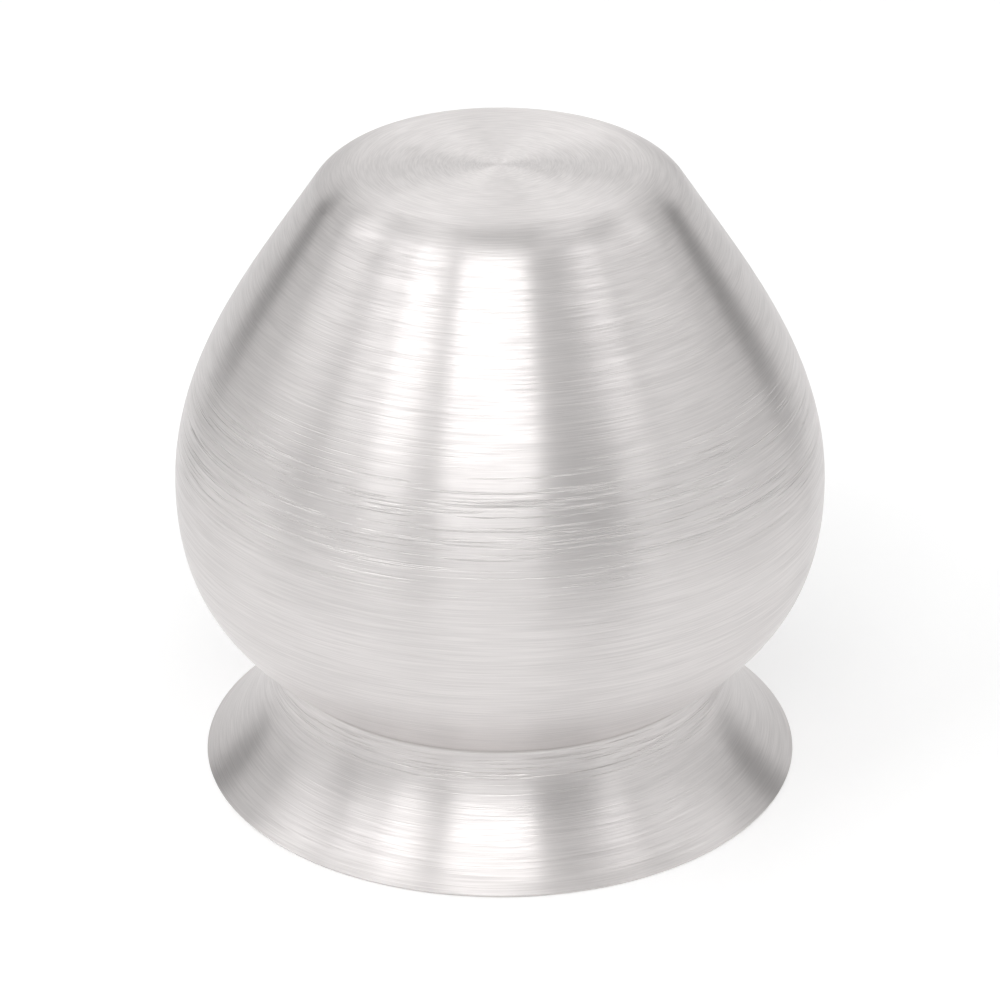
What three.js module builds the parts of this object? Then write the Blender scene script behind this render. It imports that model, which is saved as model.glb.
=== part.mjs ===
// A lota, the round water pot of South Asia: three shells spun from sheet metal, soldered together.
// It stands upside down on its mouth, as it is left to drain, so its flat base is at the top.
// Millimetres, +Z up. The origin is the centre of the mouth, on the plane that the rim stands on.
import * as THREE from "three";

// Whole pot
const HEIGHT = 114; // standing plane to the outside of the base
const SHEET = 1; // wall of every spun shell
const SOLDER_GAP = 0.15; // room for solder between two laps, and round the bead in the crease
const SEGMENTS = 80; // facets round the axis

// Base bowl
const BASE_FLAT_RADIUS = 24.2; // the flat that the pot stands on in use
const BASE_CORNER = 10; // outside radius between that flat and the flank
const FLANK_LEAN = THREE.MathUtils.degToRad(33.3); // flank from the upright, at the corner
const FLANK_PULL = 0.348; // handles of the curves, as shares of the chord that they shape
const BELLY_PULL = 0.344;
const BELLY_RADIUS = 57.5;
const BELLY_HEIGHT = 54.5; // widest line, where bowl and shoulder meet

// Shoulder
const SHOULDER_PULL = 0.411;
const CREASE_PULL = 0.405;
const SHOULDER_FALL = THREE.MathUtils.degToRad(38.3); // slope below level where it meets the neck
const LAP_START = 0.92; // share of the flank's curve that lies above the lip, which rises about 5
const LAP_RAMP = 3; // height over which the shoulder's wall steps in to that lip

// Neck and mouth
const NECK_RADIUS = 41; // outside of the collar and of the straight band under the crease
const NECK_HEIGHT = 22; // crease above the standing plane
const COLLAR_RISE = 6; // collar inside the shoulder, above the crease
const BAND_DROP = 2; // straight band below the crease, before the flare begins
const MOUTH_RADIUS = 53.6; // outer edge of the rim
const RIM_FALL = THREE.MathUtils.degToRad(38); // slope below level at the rim
const RIM_LIFT = 0.5; // outer corner of the rim above the standing plane
const FLARE_PULL = 0.33;

// Solder bead in the crease
const BEAD_LEG = 0.9; // how far it reaches along each wall

const STEEL = { color: 0xd6d3d1, roughness: 0.32, metalness: 1 };
const SOLDER = { color: 0xdedcda, roughness: 0.25, metalness: 1 };

const point = (radius, height) => new THREE.Vector2(radius, height);
const heading = (angle) => point(Math.cos(angle), Math.sin(angle));

// A cubic curve between two points, with handles along unit directions.
function sweep(start, startWay, startPull, end, endWay, endPull) {
  const chord = start.distanceTo(end);
  return new THREE.CubicBezierCurve(
    start,
    start.clone().addScaledVector(startWay, startPull * chord),
    end.clone().addScaledVector(endWay, -endPull * chord),
    end,
  );
}

// Points of a curve, set square to it by a depth into the pot, from a share of the curve onwards.
function skin(curve, steps, depth = 0, from = 0) {
  return Array.from({ length: steps + 1 }, (_, i) => {
    const share = from + ((1 - from) * i) / steps;
    const way = curve.getTangent(share);
    return curve.getPoint(share).addScaledVector(point(way.y, -way.x), depth);
  });
}

// A solid of revolution about Z, whose profile runs with the material on its left.
function turned(name, finish, profile) {
  const geometry = new THREE.LatheGeometry(profile, SEGMENTS).rotateX(Math.PI / 2);
  const mesh = new THREE.Mesh(geometry, new THREE.MeshStandardMaterial(finish));
  mesh.name = name;
  return mesh;
}

// Outside lines of the pot, from the base down to the mouth
const down = point(0, -1);
const belly = point(BELLY_RADIUS, BELLY_HEIGHT);
const crease = point(NECK_RADIUS + SOLDER_GAP, NECK_HEIGHT);
const rimCorner = point(MOUTH_RADIUS, RIM_LIFT);
const corner = new THREE.ArcCurve(
  BASE_FLAT_RADIUS, HEIGHT - BASE_CORNER, BASE_CORNER, Math.PI / 2, FLANK_LEAN, true,
);
const flank = sweep(
  corner.getPoint(1), heading(FLANK_LEAN - Math.PI / 2), FLANK_PULL, belly, down, BELLY_PULL,
);
const dome = sweep(
  belly, down, SHOULDER_PULL, crease, heading(Math.PI + SHOULDER_FALL), CREASE_PULL,
);
const flare = sweep(
  point(NECK_RADIUS, NECK_HEIGHT - BAND_DROP), down, FLARE_PULL,
  rimCorner, heading(-RIM_FALL), FLARE_PULL,
);

// Flat base, round corner and convex flank in one sheet, cut square at the widest line.
function baseBowl() {
  const wall = (depth) => [
    point(0, HEIGHT - depth),
    ...skin(corner, 5, depth),
    ...skin(flank, 12, depth).slice(1),
  ];
  return turned("base_bowl", STEEL, [...wall(SHEET), ...wall(0).reverse()]);
}

// Domed ring from the widest line in to the neck. The bowl's edge sits on its shelf, and its lip
// stands up inside the bowl.
function shoulderDome() {
  const lipDepth = SHEET + SOLDER_GAP;
  const inside = skin(dome, 10, SHEET).filter(
    (p) => p.y < BELLY_HEIGHT - LAP_RAMP && p.x > crease.x,
  );
  const lipOutside = skin(flank, 2, lipDepth, LAP_START);
  return turned("shoulder_dome", STEEL, [
    ...lipOutside.toReversed(),
    ...skin(flank, 2, lipDepth + SHEET, LAP_START),
    ...inside,
    point(crease.x, NECK_HEIGHT + SHEET / Math.cos(SHOULDER_FALL)),
    ...skin(dome, 10).reverse(),
    lipOutside.at(-1),
  ]);
}

// Trumpet mouth, with a collar that stands inside the shoulder and a rim faced flat to stand on.
function flaredMouth() {
  const inside = skin(flare, 10, SHEET);
  const rimInside = inside.pop();
  const collarTop = NECK_HEIGHT + COLLAR_RISE;
  return turned("flared_mouth", STEEL, [
    point(NECK_RADIUS - SHEET, collarTop),
    ...inside,
    point(rimInside.x + rimInside.y / Math.tan(RIM_FALL), 0),
    point(MOUTH_RADIUS - RIM_LIFT * Math.tan(RIM_FALL), 0),
    ...skin(flare, 10).reverse(),
    point(NECK_RADIUS, collarTop),
    point(NECK_RADIUS - SHEET, collarTop),
  ]);
}

// Hollow-faced fillet of solder in the crease between the shoulder and the neck.
function neckSolderBead() {
  const root = crease.clone().sub(point(0, SOLDER_GAP / Math.cos(SHOULDER_FALL)));
  const onShoulder = root.clone().addScaledVector(heading(SHOULDER_FALL), BEAD_LEG);
  const onNeck = root.clone().addScaledVector(down, BEAD_LEG);
  const middle = onShoulder.clone().lerp(onNeck, 0.5).lerp(root, 0.35);
  const face = new THREE.QuadraticBezierCurve(onNeck, middle, onShoulder);
  return turned("neck_solder_bead", SOLDER, [root, ...face.getPoints(3), root]);
}

const lota = new THREE.Group();
lota.add(baseBowl(), shoulderDome(), flaredMouth(), neckSolderBead());

export default lota;
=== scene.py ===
"""A lota, the round South Asian water pot, in brushed metal, standing turned over on its mouth."""

import logging
import math
from dataclasses import dataclass, field
from enum import Enum

import bpy
import numpy as np
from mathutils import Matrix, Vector


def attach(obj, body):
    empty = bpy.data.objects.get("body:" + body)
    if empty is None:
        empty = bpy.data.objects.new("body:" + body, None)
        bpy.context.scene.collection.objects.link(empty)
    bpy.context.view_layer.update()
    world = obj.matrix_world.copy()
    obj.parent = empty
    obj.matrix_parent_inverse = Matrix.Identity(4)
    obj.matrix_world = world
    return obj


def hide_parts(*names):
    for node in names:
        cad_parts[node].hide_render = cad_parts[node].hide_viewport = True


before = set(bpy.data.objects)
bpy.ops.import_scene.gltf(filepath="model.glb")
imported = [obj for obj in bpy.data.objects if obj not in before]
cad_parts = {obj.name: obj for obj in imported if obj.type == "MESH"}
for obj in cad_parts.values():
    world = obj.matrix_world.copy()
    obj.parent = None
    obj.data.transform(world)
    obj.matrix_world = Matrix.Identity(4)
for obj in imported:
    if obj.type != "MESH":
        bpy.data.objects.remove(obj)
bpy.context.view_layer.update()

MM = 0.001
log = logging.getLogger("lota")

MERGE_DISTANCE = 1e-6  # metres
SHARP_ANGLE = 32  # degrees


class Slot(Enum):
    """The colour slots of the record."""

    METAL = "brushed_metal"
    SOLDER = "solder"


def unit(angle_deg: float) -> np.ndarray:
    """A direction in the plane of the profile.

    Args:
        angle_deg: Angle above level, in degrees, counted from outwards.

    Returns:
        The unit vector (radius, height).
    """
    a = math.radians(angle_deg)
    return np.array([math.cos(a), math.sin(a)])


@dataclass(frozen=True)
class Sweep:
    """A cubic curve of the pot's outline, in millimetres of radius and height."""

    start: np.ndarray
    start_way: np.ndarray
    start_pull: float
    end: np.ndarray
    end_way: np.ndarray
    end_pull: float

    def points(self, steps: int, depth: float = 0.0, begin: float = 0.0) -> np.ndarray:
        """Points along the curve, set into the pot by a depth.

        Args:
            steps: Number of stretches.
            depth: Distance square to the curve, in millimetres.
            begin: Share of the curve to start from.

        Returns:
            An array of (radius, height), in millimetres.
        """
        chord = np.linalg.norm(self.end - self.start)
        a, d = self.start, self.end
        b = a + self.start_way * self.start_pull * chord
        c = d - self.end_way * self.end_pull * chord
        t = np.linspace(begin, 1, steps + 1)[:, None]
        p = (1 - t) ** 3 * a + 3 * (1 - t) ** 2 * t * b + 3 * (1 - t) * t * t * c + t**3 * d
        way = (1 - t) ** 2 * (b - a) + 2 * (1 - t) * t * (c - b) + t * t * (d - c)
        way /= np.linalg.norm(way, axis=1)[:, None]
        return p + depth * np.stack([way[:, 1], -way[:, 0]], 1)


@dataclass(frozen=True)
class PotShape:
    """The pot's sizes, in millimetres and degrees, as the solids have them."""

    height: float = 114.0
    sheet: float = 1.0
    gap: float = 0.15
    base_flat: float = 24.2
    base_corner: float = 10.0
    flank_lean: float = 33.3
    belly_radius: float = 57.5
    belly_height: float = 54.5
    shoulder_fall: float = 38.3
    lap_start: float = 0.92
    lap_ramp: float = 3.0
    neck_radius: float = 41.0
    neck_height: float = 22.0
    collar_rise: float = 6.0
    band_drop: float = 2.0
    mouth_radius: float = 53.6
    rim_fall: float = 38.0
    rim_lift: float = 0.5
    rim_break: float = 0.07
    bead_leg: float = 0.9
    flank_pull: float = 0.348
    belly_pull: float = 0.344
    shoulder_pull: float = 0.411
    crease_pull: float = 0.405
    flare_pull: float = 0.33

    @property
    def belly(self) -> np.ndarray:
        """The widest point of the outline."""
        return np.array([self.belly_radius, self.belly_height])

    @property
    def crease(self) -> np.ndarray:
        """The point where the shoulder meets the neck."""
        return np.array([self.neck_radius + self.gap, self.neck_height])

    def corner(self, steps: int, depth: float) -> np.ndarray:
        """The round between the base's flat and the flank.

        Args:
            steps: Number of stretches.
            depth: Distance into the pot, in millimetres.

        Returns:
            An array of (radius, height), in millimetres.
        """
        a = np.radians(np.linspace(90, self.flank_lean, steps + 1))
        r = self.base_corner - depth
        centre = np.array([self.base_flat, self.height - self.base_corner])
        return centre + r * np.stack([np.cos(a), np.sin(a)], 1)

    @property
    def flank(self) -> Sweep:
        """The outline from the base's corner down to the belly."""
        return Sweep(
            self.corner(1, 0.0)[-1],
            unit(self.flank_lean - 90),
            self.flank_pull,
            self.belly,
            unit(-90),
            self.belly_pull,
        )

    @property
    def dome(self) -> Sweep:
        """The outline from the belly down to the crease."""
        return Sweep(
            self.belly,
            unit(-90),
            self.shoulder_pull,
            self.crease,
            unit(180 + self.shoulder_fall),
            self.crease_pull,
        )

    @property
    def flare(self) -> Sweep:
        """The outline of the trumpet mouth."""
        start = np.array([self.neck_radius, self.neck_height - self.band_drop])
        end = np.array([self.mouth_radius, self.rim_lift])
        return Sweep(start, unit(-90), self.flare_pull, end, unit(-self.rim_fall), self.flare_pull)


@dataclass(frozen=True)
class CoarseBand:
    """A height at which the brush bit deeper, in millimetres."""

    middle: float
    half_width: float
    strength: float


@dataclass(frozen=True)
class ScratchLayer:
    """One size of scratch: how short, how many to a millimetre along the wall, how broken."""

    turn: float
    per_mm: float
    detail: float


FINE = ScratchLayer(5.0, 4.4, 2.0)
MEDIUM = ScratchLayer(3.0, 2.8, 1.0)
DEEP = ScratchLayer(2.5, 3.2, 1.0)
PATCHES = ScratchLayer(2.0, 0.35, 1.0)


@dataclass(frozen=True)
class BrushedMetal:
    """Metal brushed round the pot's axis, coarser in one band of height."""

    name: str
    colour: tuple[float, float, float]
    roughness: float
    roughness_spread: float
    anisotropy: float
    scratch_depth: float
    band: CoarseBand
    tone: float = 0.07

    def build(self) -> bpy.types.Material:
        """Makes the material.

        Returns:
            A node material.
        """
        mat = bpy.data.materials.new(self.name)
        mat.use_nodes = True
        tree = mat.node_tree
        nodes, links = tree.nodes, tree.links
        shader = nodes["Principled BSDF"]
        shader.inputs["Metallic"].default_value = 1.0
        shader.inputs["Anisotropic"].default_value = self.anisotropy
        shader.inputs["Anisotropic Rotation"].default_value = 0.25
        tangent = nodes.new("ShaderNodeTangent")
        tangent.direction_type = "RADIAL"
        tangent.axis = "Z"
        links.new(tangent.outputs["Tangent"], shader.inputs["Tangent"])
        scratches = nodes.new("ShaderNodeGroup")
        scratches.node_tree = scratch_group()
        scratches.inputs["Band middle"].default_value = self.band.middle
        scratches.inputs["Band half width"].default_value = self.band.half_width
        scratches.inputs["Band strength"].default_value = self.band.strength
        spread = nodes.new("ShaderNodeMapRange")
        spread.inputs["To Min"].default_value = self.roughness + self.roughness_spread
        spread.inputs["To Max"].default_value = self.roughness - self.roughness_spread
        links.new(scratches.outputs["Shine"], spread.inputs["Value"])
        links.new(spread.outputs["Result"], shader.inputs["Roughness"])
        tint = nodes.new("ShaderNodeMix")
        tint.data_type = "RGBA"
        tint.inputs["A"].default_value = (*(c * (1 - self.tone) for c in self.colour), 1)
        tint.inputs["B"].default_value = (*(c * (1 + self.tone) for c in self.colour), 1)
        links.new(scratches.outputs["Shine"], tint.inputs["Factor"])
        links.new(tint.outputs["Result"], shader.inputs["Base Color"])
        bump = nodes.new("ShaderNodeBump")
        bump.inputs["Strength"].default_value = 1.0
        bump.inputs["Distance"].default_value = self.scratch_depth * MM
        links.new(scratches.outputs["Height"], bump.inputs["Height"])
        links.new(bump.outputs["Normal"], shader.inputs["Normal"])
        return mat


class NodePen:
    """Draws nodes in a tree, one line of code each."""

    def __init__(self, tree: bpy.types.NodeTree) -> None:
        """Takes the tree to draw in.

        Args:
            tree: A material's or a group's node tree.
        """
        self.tree = tree

    def feed(self, socket: bpy.types.NodeSocket, value: object) -> None:
        """Links or sets a socket.

        Args:
            socket: The input.
            value: An output socket to link, or a constant.
        """
        if isinstance(value, bpy.types.NodeSocket):
            self.tree.links.new(value, socket)
        else:
            socket.default_value = value

    def math(self, operation: str, *values: object) -> bpy.types.NodeSocket:
        """A Math node.

        Args:
            operation: What it does.
            *values: Its inputs.

        Returns:
            Its result.
        """
        node = self.tree.nodes.new("ShaderNodeMath")
        node.operation = operation
        for socket, value in zip(node.inputs, values):
            self.feed(socket, value)
        return node.outputs[0]

    def ramp(self, value: object, low: float, high: float) -> bpy.types.NodeSocket:
        """A smooth step from 0 at low to 1 at high.

        Args:
            value: What is measured.
            low: Where the step begins.
            high: Where it ends.

        Returns:
            The step's value.
        """
        node = self.tree.nodes.new("ShaderNodeMapRange")
        node.interpolation_type = "SMOOTHSTEP"
        self.feed(node.inputs["Value"], value)
        self.feed(node.inputs["From Min"], low)
        self.feed(node.inputs["From Max"], high)
        return node.outputs["Result"]

    def ringed_noise(
        self, direction: object, along: object, layer: ScratchLayer
    ) -> bpy.types.NodeSocket:
        """Noise drawn out round the axis.

        Args:
            direction: The level unit vector from the axis.
            along: Way along the wall, in millimetres.
            layer: The size of the scratches.

        Returns:
            The noise's value.
        """
        ring = self.tree.nodes.new("ShaderNodeVectorMath")
        ring.operation = "SCALE"
        self.feed(ring.inputs[0], direction)
        ring.inputs["Scale"].default_value = layer.turn
        lift = self.tree.nodes.new("ShaderNodeCombineXYZ")
        self.feed(lift.inputs["Z"], self.math("MULTIPLY", along, layer.per_mm))
        total = self.tree.nodes.new("ShaderNodeVectorMath")
        total.operation = "ADD"
        self.feed(total.inputs[0], ring.outputs[0])
        self.feed(total.inputs[1], lift.outputs[0])
        noise = self.tree.nodes.new("ShaderNodeTexNoise")
        noise.inputs["Scale"].default_value = 1.0
        noise.inputs["Detail"].default_value = layer.detail
        self.feed(noise.inputs["Vector"], total.outputs[0])
        return noise.outputs["Fac"]


def scratch_group() -> bpy.types.NodeTree:
    """The scratches that brushing on the lathe leaves: long round the axis, narrow along the wall.

    Returns:
        A node group with the scratches' height and the shine that they leave.
    """
    name = "Lathe scratches"
    if name in bpy.data.node_groups:
        return bpy.data.node_groups[name]
    tree = bpy.data.node_groups.new(name, "ShaderNodeTree")
    for label in ("Band middle", "Band half width", "Band strength"):
        tree.interface.new_socket(label, in_out="INPUT", socket_type="NodeSocketFloat")
    for label in ("Height", "Shine"):
        tree.interface.new_socket(label, in_out="OUTPUT", socket_type="NodeSocketFloat")
    pen = NodePen(tree)
    entry = tree.nodes.new("NodeGroupInput")
    leave = tree.nodes.new("NodeGroupOutput")
    place = tree.nodes.new("ShaderNodeTexCoord").outputs["Object"]
    level = tree.nodes.new("ShaderNodeVectorMath")
    level.operation = "MULTIPLY"
    level.inputs[1].default_value = (1, 1, 0)
    pen.feed(level.inputs[0], place)
    direction = tree.nodes.new("ShaderNodeVectorMath")
    direction.operation = "NORMALIZE"
    pen.feed(direction.inputs[0], level.outputs[0])
    way = direction.outputs[0]
    marked = tree.nodes.new("ShaderNodeAttribute")
    marked.attribute_name = "along"
    along = marked.outputs["Fac"]
    split = tree.nodes.new("ShaderNodeSeparateXYZ")
    pen.feed(split.inputs[0], place)
    height = pen.math("MULTIPLY", split.outputs["Z"], 1 / MM)
    away = pen.math("ABSOLUTE", pen.math("SUBTRACT", height, entry.outputs["Band middle"]))
    near = pen.math("DIVIDE", away, entry.outputs["Band half width"])
    band = pen.math("MULTIPLY", pen.ramp(near, 1.0, 0.2), entry.outputs["Band strength"])
    fine = pen.ringed_noise(way, along, FINE)
    medium = pen.ringed_noise(way, along, MEDIUM)
    deep = pen.ringed_noise(way, along, DEEP)
    patches = pen.ringed_noise(way, along, PATCHES)
    cut = pen.math("MULTIPLY", pen.ramp(deep, 0.55, 0.75), pen.math("ADD", 0.5, band))
    weave = pen.math("ADD", pen.math("MULTIPLY", fine, 0.6), pen.math("MULTIPLY", medium, 0.4))
    pen.feed(leave.inputs["Height"], pen.math("SUBTRACT", weave, cut))
    tone = pen.math("ADD", pen.math("MULTIPLY", weave, 0.85), pen.math("MULTIPLY", patches, 0.15))
    pen.feed(leave.inputs["Shine"], pen.ramp(tone, 0.3, 0.7))
    return tree


@dataclass
class SpunPiece:
    """A piece of the pot that is round about its axis."""

    name: str
    node: str
    slot: Slot
    finish: BrushedMetal
    shape: PotShape = field(default_factory=PotShape)
    steps: int = 256

    def profile(self) -> np.ndarray:
        """The closed outline that is spun.

        Returns:
            An array of (radius, height), in millimetres.
        """
        raise NotImplementedError

    def build(self) -> bpy.types.Object:
        """Spins the outline into a mesh, gives it its finish and its place in the frame.

        Returns:
            The finished object.
        """
        outline = self.profile()
        ring = outline[0][0] > 0
        for o in bpy.context.selected_objects:
            o.select_set(False)
        first = outline[0] * MM
        bpy.ops.mesh.primitive_plane_add(size=MM, location=(0, 0, 0))
        obj = bpy.context.object
        obj.name = self.name
        bpy.ops.object.mode_set(mode="EDIT")
        bpy.ops.mesh.select_all(action="SELECT")
        bpy.ops.mesh.merge(type="CENTER")
        bpy.ops.transform.translate(value=(first[0], 0, first[1]))
        stretch = np.diff(np.vstack([outline, outline[:1]]) if ring else outline, axis=0) * MM
        for dr, dz in stretch:
            bpy.ops.mesh.extrude_region_move(TRANSFORM_OT_translate={"value": (dr, 0, dz)})
        bpy.ops.mesh.select_all(action="SELECT")
        bpy.ops.mesh.spin(steps=self.steps, angle=2 * math.pi, center=(0, 0, 0), axis=(0, 0, 1))
        bpy.ops.mesh.select_all(action="SELECT")
        bpy.ops.mesh.remove_doubles(threshold=MERGE_DISTANCE)
        bpy.ops.mesh.normals_make_consistent(inside=False)
        bpy.ops.object.mode_set(mode="OBJECT")
        self._mark_along(obj, outline)
        bpy.ops.object.shade_smooth_by_angle(angle=math.radians(SHARP_ANGLE))
        obj.data.materials.append(self.finish.build())
        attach(obj, "root")
        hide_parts(self.node)
        log.info("%s: %d faces", self.name, len(obj.data.polygons))
        return obj

    def _mark_along(self, obj: bpy.types.Object, outline: np.ndarray) -> None:
        """Stores each vertex's way along the outline, in millimetres, for the scratches.

        Args:
            obj: The spun object.
            outline: Its outline, in millimetres.
        """
        run = np.concatenate([[0], np.cumsum(np.linalg.norm(np.diff(outline, axis=0), axis=1))])
        co = np.zeros(len(obj.data.vertices) * 3)
        obj.data.vertices.foreach_get("co", co)
        co = co.reshape(-1, 3) / MM
        flat = np.stack([np.hypot(co[:, 0], co[:, 1]), co[:, 2]], 1)
        away = ((flat[:, None, :] - outline[None, :, :]) ** 2).sum(2)
        layer = obj.data.attributes.new("along", "FLOAT", "POINT")
        layer.data.foreach_set("value", run[away.argmin(1)].astype(np.float32))


class BaseBowl(SpunPiece):
    """Flat base, round corner and flank, down to the widest line."""

    def profile(self) -> np.ndarray:
        """The sheet's outline, from the axis outside to the axis inside.

        Returns:
            An array of (radius, height), in millimetres.
        """
        s = self.shape

        def wall(depth: float) -> np.ndarray:
            """One face of the sheet, from the axis to the widest line."""
            flats = np.array([[r, s.height - depth] for r in (0, 6, 12, 18)])
            return np.vstack([flats, s.corner(14, depth), s.flank.points(44, depth)[1:]])

        return np.vstack([wall(0), wall(s.sheet)[::-1]])


class ShoulderDome(SpunPiece):
    """The domed ring from the widest line in to the neck, with its lip inside the bowl."""

    def profile(self) -> np.ndarray:
        """The ring's outline: outside, edge at the neck, inside, lip.

        Returns:
            An array of (radius, height), in millimetres.
        """
        s = self.shape
        lip = s.sheet + s.gap
        inside = s.dome.points(40, s.sheet)
        keep = (inside[:, 1] < s.belly_height - s.lap_ramp) & (inside[:, 0] > s.crease[0])
        edge = s.crease + [0, s.sheet / math.cos(math.radians(s.shoulder_fall))]
        outer_lip = s.flank.points(4, lip, s.lap_start)
        return np.vstack(
            [
                s.dome.points(40),
                edge[None],
                inside[keep][::-1],
                s.flank.points(4, lip + s.sheet, s.lap_start)[::-1],
                outer_lip,
            ]
        )


class FlaredMouth(SpunPiece):
    """The collar, straight neck and trumpet mouth, with a rim faced flat."""

    def profile(self) -> np.ndarray:
        """The ring's outline: outside, rim with its corner broken, foot, inside, collar.

        Returns:
            An array of (radius, height), in millimetres.
        """
        s = self.shape
        fall = math.radians(s.rim_fall)
        top = s.neck_height + s.collar_rise
        inside = s.flare.points(40, s.sheet)
        end = inside[-1]
        inside = inside[:-1][inside[:-1, 1] > 0.05]
        outer = s.flare.points(40)
        return np.vstack(
            [
                [[s.neck_radius, top]],
                outer[:-1],
                outer[-1:] - s.rim_break * unit(-s.rim_fall),
                outer[-1:] + s.rim_break * unit(-s.rim_fall - 90),
                [[s.mouth_radius - s.rim_lift * math.tan(fall), 0]],
                [[end[0] + end[1] / math.tan(fall), 0]],
                inside[::-1],
                [[s.neck_radius - s.sheet, top]],
            ]
        )


class NeckSolderBead(SpunPiece):
    """The hollow-faced fillet of solder in the crease."""

    def profile(self) -> np.ndarray:
        """The fillet's outline, with its root in the crease.

        Returns:
            An array of (radius, height), in millimetres.
        """
        s = self.shape
        inner = np.array([s.neck_radius - 0.02, s.neck_height + 0.02])
        root = s.crease + [-s.gap, 0]
        high = s.crease + s.bead_leg * unit(s.shoulder_fall)
        low = root + s.bead_leg * unit(-90)
        t = np.linspace(0, 1, 13)[:, None]
        face = (1 - t) ** 2 * high + 2 * (1 - t) * t * root + t * t * low
        return np.vstack([inner[None], face])


@dataclass(frozen=True)
class Softbox:
    """A flat studio light that faces the pot and fills a stretch of the circle round it."""

    name: str
    from_azimuth: float
    to_azimuth: float
    radiance: float
    elevation: float = 40.0
    tall: float = 26.0
    distance: float = 1.3

    def build(self, target: Vector) -> bpy.types.Object:
        """Places the light.

        Args:
            target: The point that it faces.

        Returns:
            The light.
        """
        azimuth = math.radians((self.from_azimuth + self.to_azimuth) / 2)
        half = math.radians((self.to_azimuth - self.from_azimuth) / 2)
        rise = math.radians(self.elevation)
        way = Vector(
            (math.sin(azimuth) * math.cos(rise), -math.cos(azimuth) * math.cos(rise), math.sin(rise))
        )
        data = bpy.data.lights.new(self.name, "AREA")
        data.shape = "RECTANGLE"
        data.size = 2 * self.distance * math.cos(rise) * math.tan(half)
        data.size_y = 2 * self.distance * math.tan(math.radians(self.tall / 2))
        data.energy = self.radiance * math.pi * data.size * data.size_y
        obj = bpy.data.objects.new(self.name, data)
        bpy.context.scene.collection.objects.link(obj)
        obj.location = target + way * self.distance
        obj.rotation_euler = (-way).to_track_quat("-Z", "Y").to_euler()
        return obj


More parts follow.
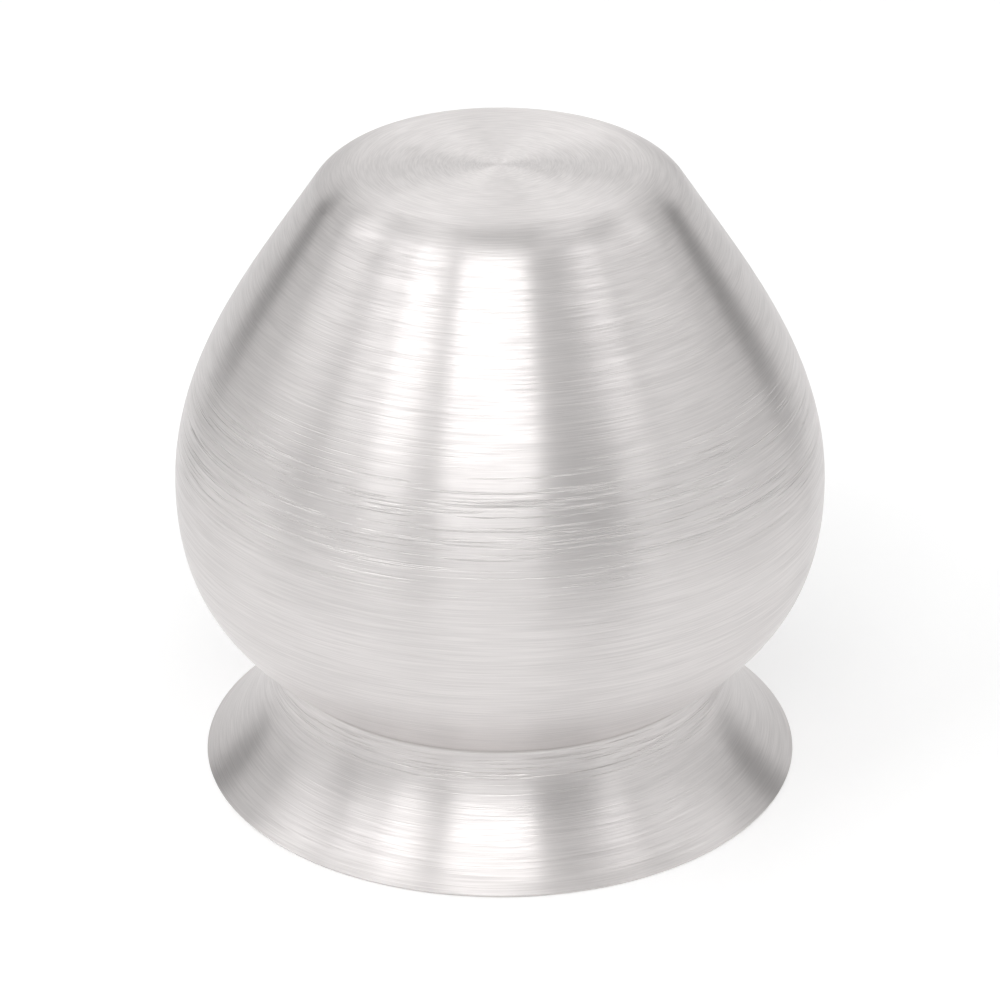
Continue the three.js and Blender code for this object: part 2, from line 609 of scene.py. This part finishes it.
@dataclass
class Studio:
    """The floor, lights, world and camera."""

    target: Vector = field(default_factory=lambda: Vector((0, 0, 0.0495)))
    camera_place: Vector = field(default_factory=lambda: Vector((0, -0.6502, 0.3836)))
    lens: float = 147.8
    floor_size: float = 6.0
    floor_tone: float = 0.86
    floor_roughness: float = 0.8
    floor_glow: float = 0.23
    surround: float = 0.05

    def build(self) -> None:
        """Makes the studio."""
        self._floor()
        self._lights()
        self._world()
        self._camera()

    def _floor(self) -> None:
        """The pale floor, which glows a little, as a lit table does."""
        bpy.ops.mesh.primitive_plane_add(size=self.floor_size, location=(0, 0, 0))
        floor = bpy.context.object
        floor.name = "floor"
        mat = bpy.data.materials.new("floor")
        mat.use_nodes = True
        shader = mat.node_tree.nodes["Principled BSDF"]
        shader.inputs["Base Color"].default_value = (*[self.floor_tone] * 3, 1)
        shader.inputs["Roughness"].default_value = self.floor_roughness
        shader.inputs["Emission Color"].default_value = (1, 1, 1, 1)
        shader.inputs["Emission Strength"].default_value = self.floor_glow
        floor.data.materials.append(mat)

    def _lights(self) -> None:
        """The softboxes that draw the streaks."""
        for box in (
            Softbox("key_left", -55, -35, 3.2),
            Softbox("gap_left", -35, -24, 1.0),
            Softbox("key_front", -24, 17, 3.6),
            Softbox("gap_right", 17, 43, 0.9),
            Softbox("right_inner", 43, 65, 1.6),
            Softbox("right_side", 65, 115, 1.2),
            Softbox("right_back", 115, 165, 0.7),
            Softbox("back", 165, 195, 1.6),
            Softbox("left_back", -165, -115, 0.75),
            Softbox("left_side", -115, -75, 1.6),
            Softbox("left_inner", -75, -55, 2.1),
            Softbox("low_left", -81, -9, 0.23, 14.0, 24.0),
            Softbox("low_right", 45, 99, 0.6, 14.0, 24.0),
            Softbox("low_left_back", -160, -138, 0.7, 14.0, 24.0),
            Softbox("low_left_side", -126, -81, 0.65, 14.0, 24.0),
            Softbox("low_right_side", 99, 119, 0.65, 14.0, 24.0),
            Softbox("low_right_back", 133, 160, 0.7, 14.0, 24.0),
            Softbox("low_back", 160, 200, 0.7, 14.0, 24.0),
            Softbox("top_front", -45, 45, 0.7, 68.0, 24.0),
            Softbox("top_right", 45, 135, 0.6, 68.0, 24.0),
            Softbox("top_back", 135, 225, 0.65, 68.0, 24.0),
            Softbox("top_left", -135, -45, 0.6, 68.0, 24.0),
        ):
            box.build(self.target)

    def _world(self) -> None:
        """A dim, even surround."""
        world = bpy.data.worlds.new("surround")
        bpy.context.scene.world = world
        world.use_nodes = True
        background = world.node_tree.nodes["Background"]
        background.inputs["Color"].default_value = (1, 1, 1, 1)
        background.inputs["Strength"].default_value = self.surround

    def _camera(self) -> None:
        """The camera, where the photograph was taken from."""
        data = bpy.data.cameras.new("camera")
        data.lens = self.lens
        data.sensor_width = 36
        cam = bpy.data.objects.new("camera", data)
        bpy.context.scene.collection.objects.link(cam)
        cam.location = self.camera_place
        cam.rotation_euler = (self.target - self.camera_place).to_track_quat("-Z", "Y").to_euler()
        bpy.context.scene.camera = cam
        bpy.context.scene.view_settings.view_transform = "Standard"


@dataclass
class Lota:
    """The whole pot."""

    metal: BrushedMetal = BrushedMetal(
        "brushed_metal", (0.735, 0.708, 0.70), 0.36, 0.04, 0.94, 0.027, CoarseBand(71, 14, 4.5)
    )
    mouth_metal: BrushedMetal = BrushedMetal(
        "brushed_mouth", (0.735, 0.708, 0.70), 0.36, 0.04, 0.94, 0.030, CoarseBand(19, 6, 3.5)
    )
    solder: BrushedMetal = BrushedMetal(
        "solder", (0.68, 0.66, 0.65), 0.38, 0.05, 0.4, 0.008, CoarseBand(22, 1, 0.0)
    )

    def build(self) -> list[bpy.types.Object]:
        """Builds every piece.

        Returns:
            The pieces.
        """
        return [
            BaseBowl("bowl", "base_bowl", Slot.METAL, self.metal).build(),
            ShoulderDome("shoulder", "shoulder_dome", Slot.METAL, self.metal).build(),
            FlaredMouth("mouth", "flared_mouth", Slot.METAL, self.mouth_metal).build(),
            NeckSolderBead("solder_bead", "neck_solder_bead", Slot.SOLDER, self.solder).build(),
        ]


def main() -> None:
    """Builds the pot and the studio, in order."""
    logging.basicConfig(level=logging.INFO)
    Lota().build()
    Studio().build()


if __name__ == "__main__":
    main()
